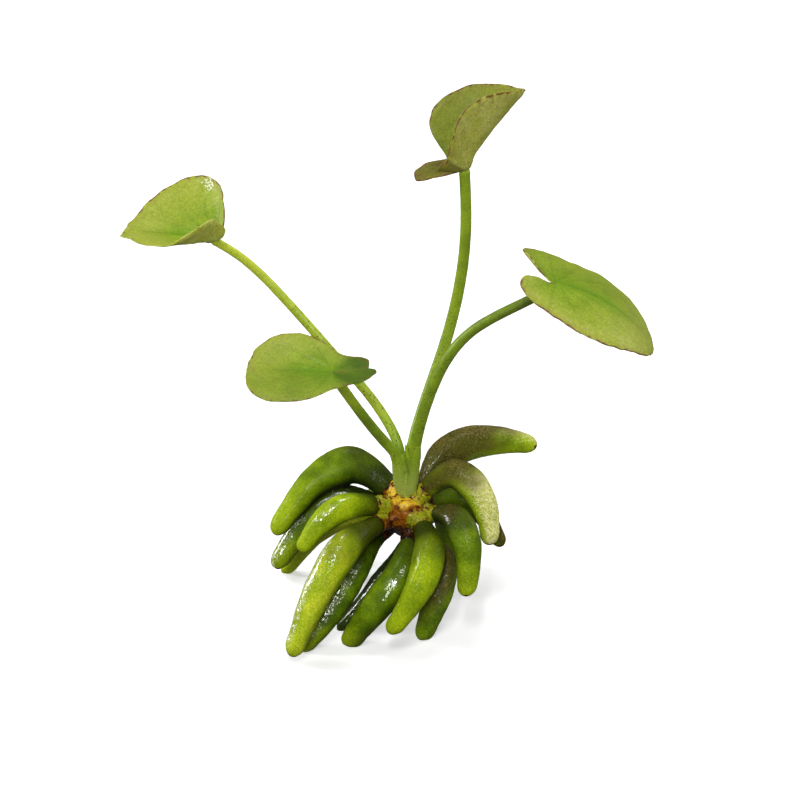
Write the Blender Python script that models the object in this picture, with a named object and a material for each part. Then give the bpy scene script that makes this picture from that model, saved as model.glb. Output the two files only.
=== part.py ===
"""Banana lily: a crown with a cluster of banana-shaped storage roots, a leafy shoot of four
stalks that share one sheath, and a heart-shaped blade on each stalk. It stands on its roots.

Metres, +Z up. The plant is laid out around an upright axis through its crown, in millimetres
above the surface that it stands on, and then moved so that the origin is under the middle of
its bounding box. +X is to the right of someone facing the plant, +Y is away from them."""

import math
from collections import namedtuple

import bmesh
import bpy
import numpy as np
from mathutils import Matrix, Vector

MM = 0.001

# Lengths and places below are in millimetres, angles in degrees.
GAP = 0.55
CROWN_HEIGHT = 21.5

# A storage root's centre line passes through four places: where its neck leaves the crown, its
# shoulder, its belly and its tip. Width is its thickest, neck its neck's share of that. A tip
# below the surface is cut off flat there, because the plant stands on it.
Root = namedtuple("Root", "name neck_at shoulder belly tip width neck")
ROOTS = (
    Root("root_left_high",
         (-3.3, 2.6, 25.6), (-11.0, 5.9, 29.4), (-19.3, 2.4, 25.6), (-26.3, -3.1, 17.8), 6.7, 0.66),
    Root("root_left_mid",
         (-5.7, 3.1, 21.6), (-13.5, 4.9, 21.9), (-20.9, 1.6, 16.7), (-26.2, -2.2, 9.6), 5.5, 0.64),
    Root("root_left_front",
         (-6.2, -3.1, 24.4), (-12.1, -6.0, 25.4), (-17.6, -8.8, 22.3), (-20.9, -10.2, 17.8), 5.5, 0.76),
    Root("root_left_low",
         (-5.0, 2.6, 17.4), (-9.6, 6.6, 17.0), (-18.2, 11.5, 10.6), (-25.1, 14.2, -0.4), 4.8, 0.60),
    Root("root_front_left",
         (-6.0, -5.0, 20.9), (-11.1, -12.0, 20.4), (-17.8, -19.4, 13.0), (-22.4, -23.2, 1.5), 7.0, 0.56),
    Root("root_front_left_low",
         (-5.2, -1.8, 16.6), (-8.8, -7.6, 15.2), (-14.9, -14.6, 7.6), (-21.0, -18.2, -0.4), 6.3, 0.46),
    Root("root_under",
         (0.0, -1.0, 14.8), (-2.0, -3.6, 11.8), (-6.1, -6.6, 7.2), (-13.6, -10.0, -0.4), 4.4, 0.62),
    Root("root_front_mid",
         (0.3, -4.9, 17.0), (-1.4, -11.4, 13.9), (-6.4, -15.6, 8.6), (-12.1, -15.2, -0.4), 5.8, 0.56),
    Root("root_front_right",
         (3.3, -5.6, 20.8), (4.5, -13.0, 18.8), (1.8, -18.1, 12.4), (-3.4, -19.8, 4.8), 6.4, 0.66),
    Root("root_front_low",
         (3.6, -1.2, 15.9), (7.3, -7.2, 14.3), (6.8, -11.4, 9.9), (3.4, -13.2, -0.4), 5.4, 0.52),
    Root("root_right_front",
         (6.1, -3.0, 22.4), (9.7, -7.4, 23.2), (12.0, -12.2, 17.8), (11.5, -15.0, 10.4), 5.8, 0.62),
    Root("root_right_high",
         (4.2, 0.0, 26.4), (9.7, -0.5, 30.0), (14.4, -2.8, 26.6), (16.6, -7.2, 17.6), 6.2, 0.64),
    Root("root_right_back",
         (2.9, 4.6, 24.8), (8.9, 11.4, 29.5), (17.1, 14.2, 30.6), (26.7, 14.5, 28.9), 6.4, 0.42),
    Root("root_right_mid",
         (5.5, 3.3, 21.8), (10.2, 3.4, 22.8), (16.0, 1.2, 19.4), (19.3, -1.0, 14.0), 4.8, 0.66),
    Root("root_back_right",
         (3.4, 3.6, 17.0), (7.2, 10.2, 17.2), (8.6, 14.8, 11.0), (9.0, 16.0, -0.4), 5.4, 0.56),
    Root("root_back_left",
         (-1.2, 5.0, 17.4), (-5.0, 11.0, 18.4), (-9.0, 16.4, 12.0), (-10.6, 18.2, -0.4), 5.4, 0.56),
    Root("root_back",
         (0.3, 6.2, 21.6), (0.6, 11.5, 21.4), (1.0, 16.0, 17.9), (1.4, 18.5, 11.4), 5.0, 0.66),
)

# Along a root, as shares of its length: the neck has swollen to the full width, the taper to the
# tip starts, and the tip starts to round off. Taper is the share of the width that is lost.
SWOLLEN_AT = 0.36
TAPER_AT = 0.42
TAPER = 0.40
TIP_AT = 0.90
ROOT_SIDES = 12
ROOT_RINGS = 10
TIP_RINGS = 4

# The crown, turned round its axis: (radius, height above its middle), top to bottom.
CROWN_PROFILE = (
    (0.0, 3.5), (2.6, 3.7), (3.5, 3.3), (4.0, 2.2), (4.2, 0.0), (3.7, -2.4), (2.4, -4.4), (0.0, -5.4),
)
CROWN_SIDES = 14

# A stub of the crown runs out to each root's neck. It starts inside, this share of the way out,
# is wider than the neck there, and takes the neck's own width over its straight collar.
STUB_STARTS = 0.3
STUB_START_WIDTH = 1.25
COLLAR = 0.8
COLLAR_WIDTH = 1.04
STUB_SIDES = 8

# The sheath that the stalks share: (half width, half depth, height above the surface, lean in X).
SHEATH = (
    (0.9, 0.8, 24.6, 0.1), (1.9, 1.7, 25.2, 0.1), (2.2, 2.0, 27.0, 0.0), (2.4, 2.3, 30.0, -0.1),
    (2.6, 2.5, 33.0, -0.2),
)
SHEATH_SIDES = 14

# Stalks: the places that their centre lines pass on the way up to their blades, and their widths.
Stalk = namedtuple("Stalk", "name places base_width tip_width")
STALKS = (
    Stalk("stalk_left_back",
          ((-1.2, 1.3, 34.0), (-3.1, 4.5, 38.0), (-12.2, 12.5, 47.5), (-25.8, 20.0, 60.8),
           (-33.4, 21.5, 67.8)), 2.0, 1.7),
    Stalk("stalk_left_front", ((-1.6, -1.3, 34.0), (-3.1, -2.0, 36.6), (-9.3, -7.0, 47.3)), 2.1, 1.9),
    Stalk("stalk_middle",
          ((1.1, 1.3, 34.0), (2.2, 3.5, 38.4), (7.9, 10.0, 54.5), (11.6, 13.0, 75.6)), 2.4, 2.1),
    Stalk("stalk_right",
          ((1.4, -1.3, 34.0), (4.3, -4.5, 48.5), (11.6, -7.0, 62.9), (23.4, -8.0, 70.7)), 2.4, 1.8),
)
STALK_SIDES = 8
STALK_RINGS = 13

# Blades, each at the top of its stalk. Left and right are those of someone who looks along the
# midrib from the stalk. Reach is how far the edge is from the stalk: along the midrib, and on
# either side at each of the bearings from it and then beside the notch between the lobes. Rise
# is how steeply the blade goes up in those directions once it has left the stalk. Notches are
# the angles from the lobes' inner edges to straight back. Rounding is how far from the stalk the
# blade has taken on its rise.
BEARINGS = (35, 70, 105, 140)
Blade = namedtuple("Blade", "name stalk at towards face reach_tip reach_left reach_right "
                            "rise_tip rise_left rise_right droop notches rounding")
BLADES = (
    Blade("blade_left_back", "stalk_left_back", (-38.8, 21.4, 71.6), (-0.92, 0.17, -0.03), (0.15, 0, 0.93),
          18.5, (17, 14, 9.5, 6, 1.5), (16.5, 15, 9, 4, 2.5),
          0, (8, 15, 55, 55, 60), (20, 45, 65, 75, 65), 0, (12, 12), 4),
    Blade("blade_left_front", "stalk_left_front", (-14.1, -9.9, 56.3), (-1, 0, 0.03), (0, 0, 1),
          16.5, (16.5, 10, 7.5, 10.5, 6.5), (16, 11, 7, 8.5, 5.5),
          5, (0, -5, 5, 18, 20), (15, 20, 10, 5, 0), 10, (6, 6), 4),
    Blade("blade_middle", "stalk_middle", (11.1, 12.5, 89.9), (0.6, 0.3, 0.7), (-0.75, 0, 0.65),
          19, (15, 9, 4.5, 10, 8), (14.5, 10, 6.2, 6.5, 4.8),
          5, (50, 75, 60, 40, 34), (40, 50, 58, 54, 50), 10, (8, 10), 2),
    Blade("blade_right", "stalk_right", (28.6, -8.0, 73.9), (0.95, -0.03, -0.17), (0.19, 0.04, 0.91),
          23.5, (19, 11.5, 11, 10, 6.5), (19.5, 14, 11, 9.5, 5.8),
          0, (5, 10, 15, 25, 40), (-5, -15, -10, 6, 28), 50, (26, 14), 4),
)
BLADE_THICKNESS = 0.6
BLADE_SPOKES = 25
BLADE_RINGS = 5


def clear_scene():
    for old in list(bpy.data.objects):
        bpy.data.objects.remove(old)


def material(name, colour, roughness):
    made = bpy.data.materials.new(name)
    made.use_nodes = True
    shader = made.node_tree.nodes["Principled BSDF"]
    shader.inputs["Base Color"].default_value = (*colour, 1.0)
    shader.inputs["Roughness"].default_value = roughness
    return made


def spline(knots, values):
    """The natural cubic spline that takes the values at the knots."""
    values = np.array(values, float)
    last = len(knots) - 1
    system = np.eye(last + 1)
    bend = np.zeros_like(values)
    step = np.diff(knots)
    for i in range(1, last):
        system[i, i - 1:i + 2] = step[i - 1], 2 * (step[i - 1] + step[i]), step[i]
        bend[i] = 6 * ((values[i + 1] - values[i]) / step[i] - (values[i] - values[i - 1]) / step[i - 1])
    second = np.linalg.solve(system, bend)

    def at(u):
        i = min(max(int(np.searchsorted(knots, u, side="right")) - 1, 0), last - 1)
        h = step[i]
        a, b = (knots[i + 1] - u) / h, (u - knots[i]) / h
        curve = ((a**3 - a) * second[i] + (b**3 - b) * second[i + 1]) * h * h / 6
        return a * values[i] + b * values[i + 1] + curve

    return at


def fine_line(places):
    """Many points on a smooth line through the places, and their lengths along it."""
    places = np.array(places, float)
    knots = np.concatenate([[0.0], np.cumsum(np.linalg.norm(np.diff(places, axis=0), axis=1))])
    at = spline(knots, places)
    fine = np.array([at(u) for u in np.linspace(0, knots[-1], 400)])
    lengths = np.concatenate([[0.0], np.cumsum(np.linalg.norm(np.diff(fine, axis=0), axis=1))])
    return fine, lengths


def line_length(places):
    return fine_line(places)[1][-1]


def smooth_line(places, shares):
    """The points at some shares of the length of a smooth line through the places."""
    fine, lengths = fine_line(places)
    wanted = np.asarray(shares) * lengths[-1]
    return np.stack([np.interp(wanted, lengths, fine[:, k]) for k in range(3)], axis=-1)


def smoothstep(x):
    x = min(max(x, 0.0), 1.0)
    return x * x * (3 - 2 * x)


def frames_along(points):
    """A side and an up vector at each point of a line, turned as little as possible along it."""
    tangents = np.gradient(points, axis=0)
    tangents /= np.linalg.norm(tangents, axis=1)[:, None]
    up = Vector((0, 0, 1)) if abs(tangents[0][2]) < 0.9 else Vector((0, 1, 0))
    found = []
    for tangent in map(Vector, tangents):
        side = tangent.cross(up).normalized()
        up = side.cross(tangent).normalized()
        found.append((side, up))
    return found


def tube(name, points, radii, sides, pointed_end):
    """A closed tube of rings round the points. A pointed end closes on the last point."""
    rings = len(points) - 1 if pointed_end else len(points)
    frames = frames_along(points)
    vertices = []
    for point, radius, (side, up) in list(zip(points, radii, frames))[:rings]:
        for k in range(sides):
            angle = 2 * math.pi * k / sides
            out = math.cos(angle) * side + math.sin(angle) * up
            vertices.append(Vector(point) + out * float(radius))
    faces = [tuple(range(sides))]
    for ring in range(rings - 1):
        for k in range(sides):
            low, next_low = ring * sides + k, ring * sides + (k + 1) % sides
            faces.append((low, low + sides, next_low + sides, next_low))
    last = (rings - 1) * sides
    if pointed_end:
        vertices.append(Vector(points[-1]))
        faces += [(last + k, rings * sides, last + (k + 1) % sides) for k in range(sides)]
    else:
        faces.append(tuple(last + k for k in reversed(range(sides))))
    return solid(name, vertices, faces)


def solid(name, vertices, faces):
    """A mesh object, in metres, from vertices in millimetres, with its faces pointing out."""
    mesh = bpy.data.meshes.new(name)
    mesh.from_pydata([Vector(v) * MM for v in vertices], [], faces)
    work = bmesh.new()
    work.from_mesh(mesh)
    bmesh.ops.recalc_face_normals(work, faces=work.faces)
    work.to_mesh(mesh)
    work.free()
    mesh.shade_smooth()
    made = bpy.data.objects.new(name, mesh)
    bpy.context.scene.collection.objects.link(made)
    return made


def root_shares():
    """How far along a root its rings lie: even along the body, then closing in on the tip."""
    body = np.linspace(0, TIP_AT, ROOT_RINGS)
    turn = np.linspace(0, math.pi / 2, TIP_RINGS + 1)[1:]
    return np.concatenate([body, TIP_AT + (1 - TIP_AT) * np.sin(turn)])


def root_girth(share, neck):
    """A root's radius as a share of its largest: a narrow neck, a full belly, a blunt tip."""
    swell = neck + (1 - neck) * smoothstep(share / SWOLLEN_AT)
    taper = 1 - TAPER * smoothstep((share - TAPER_AT) / (1 - TAPER_AT))
    into_tip = max(0.0, share - TIP_AT) / (1 - TIP_AT)
    return swell * taper * math.sqrt(max(0.0, 1 - into_tip**2))


def add_root(root, finish):
    """A root that starts a gap away from its stub on the crown."""
    places = [root.neck_at, root.shoulder, root.belly, root.tip]
    start = GAP / line_length(places)
    points = smooth_line(places, start + (1 - start) * root_shares())
    radii = [root.width / 2 * root_girth(share, root.neck) for share in root_shares()]
    made = tube(root.name, points, radii, ROOT_SIDES, pointed_end=True)
    made.data.materials.append(finish)
    cut_off_at_surface(made)
    return made


def cut_off_at_surface(made):
    """Leaves what is above the surface, closed with a flat face to stand on."""
    work = bmesh.new()
    work.from_mesh(made.data)
    cut = bmesh.ops.bisect_plane(
        work, geom=work.verts[:] + work.edges[:] + work.faces[:], plane_co=(0, 0, 0),
        plane_no=(0, 0, -1), clear_outer=True, dist=1e-7)
    rim = [edge for edge in cut["geom_cut"] if isinstance(edge, bmesh.types.BMEdge)]
    if rim:
        bmesh.ops.contextual_create(work, geom=rim)
        bmesh.ops.recalc_face_normals(work, faces=work.faces)
    work.to_mesh(made.data)
    work.free()


def add_crown(finish):
    """The crown, with a short stub where each root's neck leaves it and a seat for the sheath."""
    middle = Vector((0, 0, CROWN_HEIGHT))
    crown = turned("crown", CROWN_PROFILE, middle, CROWN_SIDES)
    crown.data.materials.append(finish)
    for root in ROOTS:
        near = smooth_line([root.neck_at, root.shoulder, root.belly, root.tip], [0.0, 0.02])
        end = Vector(root.neck_at)
        ahead = Vector(near[1] - near[0]).normalized()
        start = middle + (end - middle) * STUB_STARTS
        radius = root.width / 2 * root.neck
        rings = [
            (end, ahead, radius),
            (end - ahead * COLLAR, ahead, radius * COLLAR_WIDTH),
            (start, end - middle, radius * STUB_START_WIDTH),
        ]
        combine(crown, wrapped("stub_of_" + root.name, rings, STUB_SIDES), "UNION")
    combine(crown, stacked_rings("seat_of_sheath", SHEATH, SHEATH_SIDES, GAP), "DIFFERENCE")
    return crown


def wrapped(name, rings, sides):
    """The closed solid that tightly wraps some rings: (middle, direction it faces, radius)."""
    work = bmesh.new()
    for middle, facing, radius in rings:
        turn = facing.to_track_quat("Z", "Y")
        for k in range(sides):
            angle = 2 * math.pi * k / sides
            out = Vector((radius * math.cos(angle), radius * math.sin(angle), 0))
            work.verts.new(middle + turn @ out)
    hull = bmesh.ops.convex_hull(work, input=work.verts)
    spare = {v for v in hull["geom_interior"] + hull["geom_unused"] if isinstance(v, bmesh.types.BMVert)}
    bmesh.ops.delete(work, geom=list(spare), context="VERTS")
    work.verts.index_update()
    vertices = [v.co.copy() for v in work.verts]
    faces = [[v.index for v in face.verts] for face in work.faces]
    work.free()
    return solid(name, vertices, faces)


def combine(piece, tool, operation):
    """Adds or cuts away a tool, which stays in the scene as a hidden guide."""
    tool.hide_render = True
    tool.display_type = "WIRE"
    step = piece.modifiers.new(tool.name, "BOOLEAN")
    step.operation = operation
    step.object = tool


def turned(name, profile, middle, sides):
    """A closed solid turned round an upright axis. The profile's first and last radius are 0."""
    vertices = [middle + Vector((0, 0, profile[0][1]))]
    for radius, height in profile[1:-1]:
        for k in range(sides):
            angle = 2 * math.pi * k / sides
            out = Vector((radius * math.cos(angle), radius * math.sin(angle), height))
            vertices.append(middle + out)
    vertices.append(middle + Vector((0, 0, profile[-1][1])))
    rings, last = len(profile) - 2, len(vertices) - 1
    faces = []
    for k in range(sides):
        after = (k + 1) % sides
        faces.append((0, 1 + k, 1 + after))
        for ring in range(rings - 1):
            base = 1 + ring * sides
            faces.append((base + k, base + sides + k, base + sides + after, base + after))
        base = 1 + (rings - 1) * sides
        faces.append((base + k, last, base + after))
    return solid(name, vertices, faces)


def stacked_rings(name, rings, sides, larger=0.0):
    """A closed solid of upright oval rings: (half width, half depth, height, lean in X)."""
    vertices = []
    for half_width, half_depth, height, lean in rings:
        drop = larger if height == rings[0][2] else 0.0
        for k in range(sides):
            angle = 2 * math.pi * k / sides
            x = lean + (half_width + larger) * math.cos(angle)
            vertices.append((x, (half_depth + larger) * math.sin(angle), height - drop))
    faces = [tuple(range(sides))]
    for ring in range(len(rings) - 1):
        for k in range(sides):
            low, next_low = ring * sides + k, ring * sides + (k + 1) % sides
            faces.append((low, low + sides, next_low + sides, next_low))
    last = (len(rings) - 1) * sides
    faces.append(tuple(last + k for k in range(sides)))
    return solid(name, vertices, faces)


def add_sheath(finish):
    made = stacked_rings("sheath", SHEATH, SHEATH_SIDES)
    made.data.materials.append(finish)
    return made


def blade_face(blade):
    """The blade's own directions: along the midrib, to its left, and out of its upper face."""
    towards = Vector(blade.towards).normalized()
    face = Vector(blade.face)
    face = (face - towards * face.dot(towards)).normalized()
    return towards, face.cross(towards), face


def add_stalk(stalk, finish):
    blade = next(b for b in BLADES if b.stalk == stalk.name)
    top = Vector(blade.at) - blade_face(blade)[2] * (BLADE_THICKNESS / 2 + GAP + stalk.tip_width / 3)
    points = smooth_line([*stalk.places, top], np.linspace(0, 1, STALK_RINGS))
    radii = np.linspace(stalk.base_width, stalk.tip_width, STALK_RINGS) / 2
    made = tube(stalk.name, points, radii, STALK_SIDES, pointed_end=False)
    made.data.materials.append(finish)
    return made


def last_bearings(blade):
    """The bearings of a blade's inner edges, right and left; those to the right are negative."""
    return blade.notches[1] - 180, 180 - blade.notches[0]


def all_round(blade, tip, left, right):
    """A smooth value at any bearing from the midrib, from the blade's values."""
    first, last = last_bearings(blade)
    knots = [first, *(-bearing for bearing in reversed(BEARINGS)), 0, *BEARINGS, last]
    return spline(knots, [*reversed(right), tip, *left])


def blade_point(blade, rise, bearing, distance):
    """The place at a distance along the blade from its stalk, before the blade is turned."""
    angle = math.radians(bearing)
    steepest = math.radians(rise(bearing))
    droop = math.radians(blade.droop) * max(0.0, math.cos(angle)) / blade.reach_tip
    steps = 10
    out = up = 0.0
    for k in range(steps):
        along = distance * (k + 0.5) / steps
        slope = steepest * smoothstep(along / blade.rounding) - droop * along
        out += math.cos(slope) * distance / steps
        up += math.sin(slope) * distance / steps
    return Vector((out * math.cos(angle), out * math.sin(angle), up))


def add_blade(blade, finish):
    turn = Matrix(blade_face(blade)).transposed()
    base = Vector(blade.at)
    reach = all_round(blade, blade.reach_tip, blade.reach_left, blade.reach_right)
    rise = all_round(blade, blade.rise_tip, blade.rise_left, blade.rise_right)
    half = Vector((0, 0, BLADE_THICKNESS / 2))
    top, bottom = [base + turn @ half], [base - turn @ half]
    small = 0.05
    for bearing in np.linspace(*last_bearings(blade), BLADE_SPOKES):
        for ring in range(1, BLADE_RINGS + 1):
            distance = reach(bearing) * ring / BLADE_RINGS
            here = blade_point(blade, rise, bearing, distance)
            outwards = blade_point(blade, rise, bearing, distance + small) - here
            sideways = blade_point(blade, rise, bearing + 1, distance) - here
            out = outwards.cross(sideways).normalized() * BLADE_THICKNESS / 2
            top.append(base + turn @ (here + out))
            bottom.append(base + turn @ (here - out))
    count = len(top)
    faces = []

    def index(spoke, ring):
        return 0 if ring == 0 else 1 + spoke * BLADE_RINGS + ring - 1

    for spoke in range(BLADE_SPOKES - 1):
        for ring in range(BLADE_RINGS):
            corners = [index(spoke, ring), index(spoke, ring + 1)]
            corners += [index(spoke + 1, ring + 1), index(spoke + 1, ring)]
            corners = list(dict.fromkeys(corners))
            faces.append(tuple(corners))
            faces.append(tuple(count + c for c in reversed(corners)))
    rim = [index(0, ring) for ring in range(BLADE_RINGS + 1)]
    rim += [index(spoke, BLADE_RINGS) for spoke in range(1, BLADE_SPOKES)]
    rim += [index(BLADE_SPOKES - 1, ring) for ring in range(BLADE_RINGS - 1, 0, -1)]
    for here, after in zip(rim, rim[1:] + rim[:1]):
        faces.append((here, count + here, count + after, after))
    made = solid(blade.name, top + bottom, faces)
    made.data.materials.append(finish)
    return made


def centre_on_origin(pieces):
    """Moves every piece so that the origin is under the middle of the plant."""
    corners = np.array([v.co for piece in pieces for v in piece.data.vertices])
    middle = (corners.min(axis=0) + corners.max(axis=0)) / 2
    holder = bpy.data.objects.new("plant", None)
    bpy.context.scene.collection.objects.link(holder)
    holder.location = (-middle[0], -middle[1], 0)
    for piece in bpy.data.objects:
        if piece.type == "MESH":
            piece.parent = holder


def main():
    clear_scene()
    root_green = material("root_green", (0.16, 0.27, 0.03), 0.35)
    crown_yellow = material("crown_yellow", (0.62, 0.36, 0.05), 0.4)
    stalk_green = material("stalk_green", (0.22, 0.38, 0.04), 0.45)
    blade_green = material("blade_green", (0.30, 0.44, 0.06), 0.5)
    pieces = [add_root(root, root_green) for root in ROOTS]
    pieces.append(add_crown(crown_yellow))
    pieces.append(add_sheath(stalk_green))
    pieces += [add_stalk(stalk, stalk_green) for stalk in STALKS]
    pieces += [add_blade(blade, blade_green) for blade in BLADES]
    centre_on_origin(pieces)


main()
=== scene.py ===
"""Looks of the banana lily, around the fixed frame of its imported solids.

Every solid is replaced by a finer skin of the same shape. The skins are laid out in millimetres
around the crown's upright axis, as the solids are: +X to the right, +Y away, +Z up from the
surface that the plant stands on. Their meshes are in metres, in the frame's own place."""

import math
from collections import namedtuple

import bmesh
import bpy
import numpy as np
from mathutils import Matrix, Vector, noise

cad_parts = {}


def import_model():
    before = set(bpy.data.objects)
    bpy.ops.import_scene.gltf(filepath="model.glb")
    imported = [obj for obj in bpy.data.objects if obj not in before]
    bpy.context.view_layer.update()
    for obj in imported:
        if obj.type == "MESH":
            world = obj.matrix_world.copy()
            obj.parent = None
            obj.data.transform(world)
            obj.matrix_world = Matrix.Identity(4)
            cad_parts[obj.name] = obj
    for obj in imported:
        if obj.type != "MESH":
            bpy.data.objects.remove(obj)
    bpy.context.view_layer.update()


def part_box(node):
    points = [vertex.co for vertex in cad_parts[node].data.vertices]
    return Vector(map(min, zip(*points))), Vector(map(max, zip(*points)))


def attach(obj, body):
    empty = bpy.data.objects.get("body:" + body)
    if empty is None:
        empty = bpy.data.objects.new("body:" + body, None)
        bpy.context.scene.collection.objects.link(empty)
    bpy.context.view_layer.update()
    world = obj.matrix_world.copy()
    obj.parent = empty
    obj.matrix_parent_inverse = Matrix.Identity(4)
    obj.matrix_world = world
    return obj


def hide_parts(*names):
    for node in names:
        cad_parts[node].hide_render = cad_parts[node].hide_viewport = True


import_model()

MM = 0.001
CROWN_HEIGHT = 21.5

# The crown's axis stands this far right of the middle of the sheath's solid.
SHEATH_OFFSET = 0.2

# The photograph's view: a long lens from the front, 25 degrees above the horizon.
VIEW_ELEVATION = 25
VIEW_DISTANCE = 550
VIEW_TARGET = (-1.2, 9.38, 41.62)
SENSOR_WIDTH = 36
LENS = 123.75

# Soft boxes that face the middle of the plant, in millimetres. Brightness is the light that one
# throws there; about 3 makes a pale surface white. Gloss mirrors those that are mirrored.
LAMP_DISTANCE = 2000
Lamp = namedtuple("Lamp", "name direction width height brightness mirrored")
LAMPS = (
    Lamp("overhead", (0.0, 0.25, 1.0), 600, 600, 1.0, True),
    Lamp("front", (-0.1, -0.75, 0.68), 180, 1700, 1.8, True),
    Lamp("fill", (0.6, -1.0, 0.02), 900, 600, 0.8, False),
    Lamp("left", (-1.0, 0.2, 0.38), 450, 1200, 1.7, True),
    Lamp("right", (1.0, 0.5, 0.5), 600, 600, 0.7, True),
)

# How a root is coloured. Tone runs from deep green, 0, to bright yellow-green, 1. Pale grains its
# outer side with straw. Lime brightens it towards the tip from a share of its length on. Purple
# browns its upper side between two shares of its length, and above 1 more of its sides too. Painted
# shade darkens it from the crown to a share of its length, and below is painted shade on its
# underside.
RootLook = namedtuple(
    "RootLook", "tone pale lime lime_from purple purple_from purple_to dark dark_to below")

# A storage root's centre line passes its neck, shoulder, belly and tip. Width is its thickest,
# neck its neck's share of that.
Root = namedtuple("Root", "name neck_at shoulder belly tip width neck look")
ROOTS = (
    Root("left_high", (-3.3, 2.6, 25.6), (-11.0, 5.9, 29.4), (-19.3, 2.4, 25.6),
         (-26.3, -3.1, 17.8), 6.7, 0.66, RootLook(0.52, 0.1, 0.8, 0.5, 0.3, -0.2, 0.6, 0.95, 0.5, 1.2)),
    Root("left_mid", (-5.7, 3.1, 21.6), (-13.5, 4.9, 21.9), (-20.9, 1.6, 16.7),
         (-26.2, -2.2, 9.6), 5.5, 0.64, RootLook(0.4, 0.1, 0.7, 0.6, 0.0, 0.0, 0.5, 0.9, 0.6, 0.9)),
    Root("left_front", (-6.2, -3.1, 24.4), (-12.1, -6.0, 25.4), (-17.6, -8.8, 22.3),
         (-20.9, -10.2, 17.8), 5.5, 0.76, RootLook(0.72, 0.3, 0.6, 0.55, 0.0, 0.0, 0.5, 1.0, 0.4, 0.5)),
    Root("left_low", (-5.0, 2.6, 17.4), (-9.6, 6.6, 17.0), (-18.2, 11.5, 10.6),
         (-25.1, 14.2, -0.4), 4.8, 0.6, RootLook(1.0, 0.2, 1.0, 0.2, 0.0, 0.0, 0.5, 0.0, 0.1, 0.0)),
    Root("front_left", (-6.0, -5.0, 20.9), (-11.1, -12.0, 20.4), (-17.8, -19.4, 13.0),
         (-22.4, -23.2, 1.5), 7.0, 0.56, RootLook(0.9, 0.4, 0.2, 0.8, 0.0, 0.0, 0.5, 1.0, 0.52, 0.8)),
    Root("front_left_low", (-5.2, -1.8, 16.6), (-8.8, -7.6, 15.2), (-14.9, -14.6, 7.6),
         (-21.0, -18.2, -0.4), 6.3, 0.46, RootLook(0.34, 0.2, 0.6, 0.65, 0.0, 0.0, 0.5, 0.8, 0.5, 1.0)),
    Root("under", (0.0, -1.0, 14.8), (-2.0, -3.6, 11.8), (-6.1, -6.6, 7.2),
         (-13.6, -10.0, -0.4), 4.4, 0.62, RootLook(0.12, 0.0, 0.0, 0.8, 0.0, 0.0, 0.5, 0.9, 0.8, 0.9)),
    Root("front_mid", (0.3, -4.9, 17.0), (-1.4, -11.4, 13.9), (-6.4, -15.6, 8.6),
         (-12.1, -15.2, -0.4), 5.8, 0.56, RootLook(0.46, 0.1, 0.8, 0.7, 0.2, -0.1, 0.4, 0.6, 0.45, 0.9)),
    Root("front_right", (3.3, -5.6, 20.8), (4.5, -13.0, 18.8), (1.8, -18.1, 12.4),
         (-3.4, -19.8, 4.8), 6.4, 0.66, RootLook(0.72, 0.2, 0.6, 0.55, 0.0, 0.0, 0.5, 1.0, 0.52, 0.6)),
    Root("front_low", (3.6, -1.2, 15.9), (7.3, -7.2, 14.3), (6.8, -11.4, 9.9),
         (3.4, -13.2, -0.4), 5.4, 0.52, RootLook(0.44, 0.3, 0.1, 0.8, 0.8, 0.1, 1.1, 0.5, 0.45, 0.6)),
    Root("right_front", (6.1, -3.0, 22.4), (9.7, -7.4, 23.2), (12.0, -12.2, 17.8),
         (11.5, -15.0, 10.4), 5.8, 0.62, RootLook(0.48, 0.3, 1.0, 0.6, 0.6, -0.1, 0.54, 1.0, 0.62, 0.6)),
    Root("right_high", (4.2, 0.0, 26.4), (9.7, -0.5, 30.0), (14.4, -2.8, 26.6),
         (16.6, -7.2, 17.6), 6.2, 0.64, RootLook(0.76, 1.0, 0.3, 0.8, 1.1, -0.2, 0.64, 0.9, 0.34, 0.8)),
    Root("right_back", (2.9, 4.6, 24.8), (8.9, 11.4, 29.5), (17.1, 14.2, 30.6),
         (26.7, 14.5, 28.9), 6.4, 0.42, RootLook(0.58, 0.9, 0.9, 0.72, 1.3, -0.2, 1.0, 0.3, 0.6, 0.0)),
    Root("right_mid", (5.5, 3.3, 21.8), (10.2, 3.4, 22.8), (16.0, 1.2, 19.4),
         (19.3, -1.0, 14.0), 4.8, 0.66, RootLook(0.44, 0.4, 0.1, 0.8, 1.0, 0.3, 1.3, 0.5, 0.5, 0.6)),
    Root("back_right", (3.4, 3.6, 17.0), (7.2, 10.2, 17.2), (8.6, 14.8, 11.0),
         (9.0, 16.0, -0.4), 5.4, 0.56, RootLook(0.48, 0.1, 0.6, 0.7, 0.3, -0.1, 0.5, 0.7, 0.4, 0.7)),
    Root("back_left", (-1.2, 5.0, 17.4), (-5.0, 11.0, 18.4), (-9.0, 16.4, 12.0),
         (-10.6, 18.2, -0.4), 5.4, 0.56, RootLook(0.55, 0.1, 0.6, 0.65, 0.2, -0.1, 0.5, 0.7, 0.4, 0.7)),
    Root("back", (0.3, 6.2, 21.6), (0.6, 11.5, 21.4), (1.0, 16.0, 17.9),
         (1.4, 18.5, 11.4), 5.0, 0.66, RootLook(0.44, 0.2, 0.7, 0.7, 0.6, -0.1, 0.6, 0.7, 0.4, 0.7)),
)
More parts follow.
